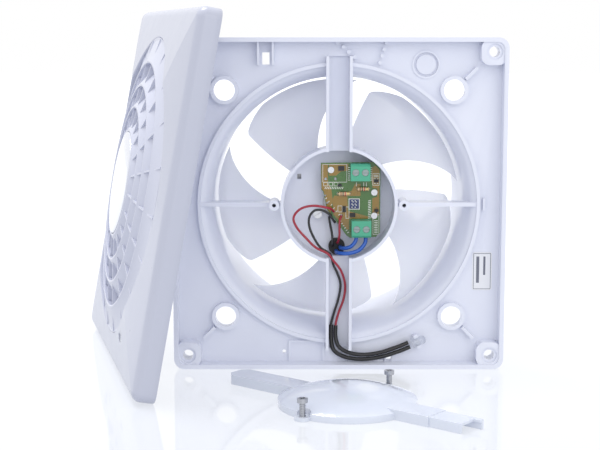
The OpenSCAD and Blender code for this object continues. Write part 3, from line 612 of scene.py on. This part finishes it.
bm = bmesh.new()
outermost = len(RINGS) - 1
for i, r0 in enumerate(RINGS):
    if i < outermost:
        r1 = RINGS[i + 1] - SLAT_GAP
        slat(bm, r0, r1, crown(r1) - SLAT_DROP)
    else:
        slat(bm, r0, FIELD - 1, 13.1)
ring_band(bm, FIELD - 1.5, FIELD - 0.08, 12.6, 14.8, 200)
ledge = crown(RINGS[0])
ring_band(bm, 22, RINGS[0] + 0.5, ledge - 3.4, ledge - 2.4, 120)
for k in range(RIBS):
    angle = math.radians(RIB_START + 360 / RIBS * k)
    for i, r0 in enumerate(RINGS):
        if i < outermost:
            r1, high = RINGS[i + 1] + 0.4, crown(RINGS[i + 1])
            end = [(r1, high - 1.4), (r1, high - 6.2)]
        else:
            end = [(FIELD - 0.5, 15.2), (FIELD - 0.5, 13.5)]
        rib(bm, angle, [(r0 + 1, crown(r0) - 1.1)] + end + [(r0 + 1, crown(r0) - 2.8)])
finish_piece(placed("cover_louvres", bm, ON_COVER, 30), "front_cover", M["grille"],
             replaces=["louvre_grille"])

bm = bmesh.new()
r = RINGS[0] - 0.15
low = crown(r) - 2.3
rim = [(r - 2, low), (r - 0.2, low), (r, low + 0.3), (r, crown(r) - 0.55), (r - 0.25, crown(r) - 0.12)]
face = [(r * k / 10, crown(r * k / 10)) for k in (9.6, 9, 8, 7, 6, 5, 4, 3, 2, 1)]
back = [(0.01, TOP), (0.01, TOP - 2), (r - 2.2, TOP - 2.4)]
lathe(bm, rim + face + back, 144)
finish_piece(placed("cover_disc", bm, ON_COVER, 40), "front_cover", M["disc"],
             replaces=["centre_disc"])

# ---------------------------------------------------------------- impeller with smoothly warped blades
HUB, TIP = 31.0, 71.0
BLADES = 5
FIRST_BLADE = 8.9               # degrees
HUB_FRONT, HUB_BACK = -25, -50.5


def blade_point(s, q, side):
    """s runs from the leading to the trailing edge, and q from the hub to the tip."""
    lead = 32 * (1 - q) ** 0.8
    trail = 71 - 8 * q if q < 0.85 else 64.2 - 16 * ((q - 0.85) / 0.15) ** 1.6
    a = math.radians(lead + s * (trail - lead))
    r = (HUB - 0.6) + q * (TIP - HUB + 0.6)
    half = (1.0 - 0.35 * q) * (0.5 + 0.5 * math.sin(math.radians(180 * min(s * 1.4 + 0.1, 1))))
    z = -28.4 - 18.6 * s - 2.2 * math.sin(math.pi * s) - 0.6 * q + side * half
    return Vector((r * math.cos(a), r * math.sin(a), z))


def blade(bm, degrees):
    ns, nq = 26, 20
    turned = Matrix.Rotation(math.radians(degrees), 3, "Z")
    qs = [1 - (1 - j / nq) ** 1.35 for j in range(nq + 1)]
    sheets = []
    for side in (1, -1):
        points = [[turned @ blade_point(i / ns, q, side) for i in range(ns + 1)] for q in qs]
        sheets.append([[bm.verts.new(point) for point in row] for row in points])
    for j in range(nq):
        for i in range(ns):
            for sheet in sheets:
                bm.faces.new([sheet[j][i], sheet[j][i + 1], sheet[j + 1][i + 1], sheet[j + 1][i]])
    border = ([(0, i) for i in range(ns)] + [(j, ns) for j in range(nq)]
              + [(nq, i) for i in range(ns, 0, -1)] + [(j, 0) for j in range(nq, 0, -1)])
    a, b = sheets
    for (j0, i0), (j1, i1) in zip(border, border[1:] + border[:1]):
        bm.faces.new([a[j0][i0], a[j1][i1], b[j1][i1], b[j0][i0]])


bm = bmesh.new()
lathe(bm, [(28.5, -48.2), (28.5, HUB_FRONT - 0.4), (28.9, HUB_FRONT), (HUB - 0.4, HUB_FRONT),
           (HUB, HUB_FRONT - 0.4), (HUB, -49.8), (30.3, HUB_BACK), (7, HUB_BACK), (3.02, HUB_BACK),
           (3.02, -46), (6.7, -46), (7, -46.3), (7, -48.2)], 160)
for k in range(BLADES):
    blade(bm, FIRST_BLADE + 360 / BLADES * k)
finish_piece(placed("impeller_smooth", bm, ON_BASE, 40), "impeller", M["impeller"],
             replaces=["impeller"])

# ---------------------------------------------------------------- control board
BOARD_Z = -12.0
RESISTOR_UP = 1.35              # height of the resistors' axes above the board
RESISTORS = ((-1.8, 8, 5.8), (9.4, 18.8, 8.6))      # both ends along x, and y
COPPER_AREAS = (
    [(-9.9, 22.9), (-9.9, 8.6), (-8.6, 7), (-6.4, -3.4), (-4.6, -5.6), (-3.4, 1.8), (-4.2, 8.2),
     (-6.2, 12), (-6.2, 22.9)],
    [(-5.6, 22.9), (5.4, 22.9), (5.4, 19), (1.4, 18.6), (-1.6, 16.2), (-5.6, 16.2)],
    [(-3, -6.4), (5, -15.4), (6, -15), (6, -8.8), (17.4, -8.8), (17.4, -7.6), (5.4, -4.4), (5, 4.6),
     (-2.6, 4.6), (-3.6, 2)],
    [(5.6, 4.4), (12.6, 4.4), (12.6, 11.4), (9.4, 11.4), (7.4, 7.2), (5.6, 7)],
    [(19.4, -8.2), (23.4, -6.8), (23.4, 19.6), (21, 22), (18.9, 20.4), (18.9, 13.2), (19.6, 9),
     (22.2, 8.8), (22.2, 4), (19.4, 3)],
)
bm = bmesh.new()
for outline in COPPER_AREAS:
    prism(bm, outline, BOARD_Z, BOARD_Z + 0.05)
finish_piece(placed("board_copper", bm, ON_BASE), "base", M["copper_mask"])

# white print: outlines round the parts, and rows of plain ticks
bm = bmesh.new()


def bar(x0, y0, x1, y1, width=0.26):
    strip(bm, (x0, y0), (x1, y1), width, BOARD_Z + 0.02, BOARD_Z + 0.09)


def outline_box(x0, y0, x1, y1):
    corners = rectangle(x0, y0, x1, y1)
    for a, b in zip(corners, corners[1:] + corners[:1]):
        bar(*a, *b)


for box in ((-9.2, 12.4, 4.6, 22.6), (19.6, 10.6, 23.4, 17.4), (19.9, -18, 23.3, -6.2), (4.2, -8.6, 6, -2),
            (-0.4, -4.9, 2, -1.4)):
    outline_box(*box)
for x in (-7.6, -4.6, -1.6):
    outline_box(x - 1.1, 10.2, x + 1.1, 12.2)
for y in (11.6, 12.5, 13.4, 14.4, 15.5, 16.4):
    bar(20.2, y, 22.8, y, 0.4)
for k in range(8):
    bar(20.6, k - 17, 22.6, k - 17, 0.45)
for k in range(7):
    y = 13.6 + 1.2 * k
    bar(5.4, y, 6.5, y, 0.5)
    bar(18.3, y, 19.2, y, 0.45)
for k in range(11):
    bar(k - 8, 8.4, k - 7.5, 9.6, 0.4)
    bar(17, k - 8.6, 18.6, k - 8.2, 0.42)
for x in (10.2, 14.4, 15.9):
    bar(x, 12.2, x, 10, 0.4)
for k in range(6):
    bar(-7.6 + k * 1.5, 2.6 - k * 1.9, -6.8 + k * 1.5, 3.4 - k * 1.9, 0.4)
    bar(0.6 + k * 0.9, -10.6 - k * 1.3, 1.5 + k * 0.9, -10.1 - k * 1.3, 0.4)
finish_piece(placed("board_print", bm, ON_BASE), "base", M["print"])

# solder joints where the leads and the axial parts meet the board: x, y and radius
SOLDER = ((-2.8, -4.5, 0.95), (-2.2, -10.7, 0.9), (1.6, -6.9, 0.9), (-0.5, 5.8, 0.7), (6.7, 5.8, 0.7),
          (10.7, 8.6, 0.7), (17.5, 8.6, 0.7), (-7.4, 14.2, 0.95), (-1.8, 14.2, 0.95), (21.6, 14.6, 0.5),
          (21.6, 11.8, 0.5), (21.8, -2.6, 0.5), (21.8, -5.4, 0.5), (0.6, 11.6, 0.4), (-6.4, 0.4, 0.7),
          (-7.6, 4.6, 0.7))
bm = bmesh.new()
for x, y, size in SOLDER:
    profile = [(0.01, 0.0), (size, 0.0), (size * 0.86, 0.12), (size * 0.62, 0.34), (size * 0.34, 0.62),
               (0.01, 0.74)]
    lathe(bm, [(r, BOARD_Z + z) for r, z in profile], 24, x, y)
finish_piece(placed("board_solder", bm, ON_BASE, 50), "base", M["solder"])

# colour bands of the two resistors, with the place of each along the body
BANDS = (("brown", -2.1), ("black", -0.9), ("red", 0.3), ("gold", 1.9))
BAND_WIDTH = 0.55
for colour, offset in BANDS:
    bm = bmesh.new()
    for x0, x1, y in RESISTORS:
        start = (x0 + x1) / 2 + offset
        rows = []
        for along, r in ((0, 1.12), (0, 1.19), (BAND_WIDTH, 1.19), (BAND_WIDTH, 1.12)):
            rows.append([(start + along, v, w) for v, w in circle(r, 30, y, BOARD_Z + RESISTOR_UP)])
        skin_rows(bm, rows)
    band = placed("resistor_band_" + colour, bm, ON_BASE)
    finish_piece(band, "base", M["band_" + colour])

# sticker: white border with a coarse made-up pattern of squares
CELL, CELLS = 0.62, 9
bm = bmesh.new()
prism(bm, rectangle(5.75, -3.45, 12.15, 2.95), BOARD_Z + 0.28, BOARD_Z + 0.33)
finish_piece(placed("sticker_border", bm, ON_BASE), "base", M["print"])
bm = bmesh.new()
edge = (0, CELLS - 1)
for i in range(CELLS):
    for j in range(CELLS):
        if (i * 7 + j * 5 + i * j) % 3 != 0 or i in edge or j in edge:
            x, y = 6.15 + i * CELL, -3.05 + j * CELL
            prism(bm, rectangle(x, y, x + CELL, y + CELL), BOARD_Z + 0.3, BOARD_Z + 0.37)
finish_piece(placed("sticker_pattern", bm, ON_BASE), "base", M["sticker"])

# label: a plain border and two plain bars in place of print
LABEL_Z = -9.7
bm = bmesh.new()
corners = rectangle(78.2, -49.6, 88, -28.8)
lines = [(a, b, 0.3) for a, b in zip(corners, corners[1:] + corners[:1])]
lines += [((80.6, -30.6), (80.6, -46), 1.7), ((84.4, -30.6), (84.4, -41.4), 1.2)]
for start, end, width in lines:
    strip(bm, start, end, width, LABEL_Z, LABEL_Z + 0.06)
finish_piece(placed("label_bars", bm, ON_BASE), "base", M["label_ink"])

# ---------------------------------------------------------------- wiring cover and its two screws
finish_piece(softened("wiring_cover", "wiring_cover_moulded", 0.5, 40, 3),
             "wiring_cover", M["wiring"], replaces=["wiring_cover"])

# threads wound round the screws
THREAD_TURNS, PER_TURN = 9, 20
for name, x in (("front", -BOSS_X), ("back", BOSS_X)):
    steps = THREAD_TURNS * PER_TURN
    cu = bpy.data.curves.new("screw_thread_" + name, "CURVE")
    cu.dimensions = "3D"
    cu.bevel_depth = 0.17 * MM
    cu.bevel_resolution = 1
    sp = cu.splines.new("POLY")
    sp.points.add(steps)
    for k, point in enumerate(sp.points):
        a = 2 * math.pi * k / PER_TURN
        taper = min(1, k / 30, (steps - k) / 12 + 0.4)
        r = 1.36 + 0.12 * taper
        q = ON_WIRING @ Vector((x + r * math.cos(a), r * math.sin(a), 0.55 + 8.1 * k / steps))
        point.co = (*q, 1)
    thread = link(bpy.data.objects.new("screw_thread_" + name, cu))
    finish_piece(thread, "cover_screw_" + name, M["cover_screw"])

# ---------------------------------------------------------------- floor and light
bm = bmesh.new()
bmesh.ops.create_grid(bm, x_segments=1, y_segments=1, size=6)
floor = mesh_object("floor", bm)
floor.location.z = -0.0001
m, nt, b = material("floor_gloss")
v = coords(nt)
n = add(nt, "ShaderNodeTexNoise", Scale=6.0, Detail=3.0)
nt.links.new(v, n.inputs["Vector"])
nt.links.new(ramp(nt, n.outputs[0], [(0.3, (0.03,) * 3), (0.7, (0.06,) * 3)]), b.inputs["Roughness"])
b.inputs["Base Color"].default_value = (0.20, 0.21, 0.24, 1)
b.inputs["IOR"].default_value = 1.45
b.inputs["Emission Color"].default_value = (0.95, 0.97, 1, 1)
b.inputs["Emission Strength"].default_value = 0.6
floor.data.materials.append(m)

world = bpy.data.worlds.new("studio")
scene.world = world
world.use_nodes = True
background = world.node_tree.nodes["Background"]
background.inputs[0].default_value = (1, 1, 1, 1)
background.inputs[1].default_value = 1.0


def softbox(name, at, to, size, power):
    d = bpy.data.lights.new(name, "AREA")
    d.shape = "RECTANGLE"
    d.size, d.size_y = size
    d.energy = power
    o = link(bpy.data.objects.new(name, d))
    o.location = at
    o.rotation_euler = (Vector(to) - Vector(at)).to_track_quat("-Z", "Y").to_euler()


softbox("key", (0.4, -1.4, 0.6), (0.03, 0, 0.09), (1.4, 1.0), 4.2)
softbox("top", (-0.35, 0.25, 1.2), (-0.05, 0, 0.12), (0.5, 0.5), 8)

scene.view_settings.view_transform = "Standard"
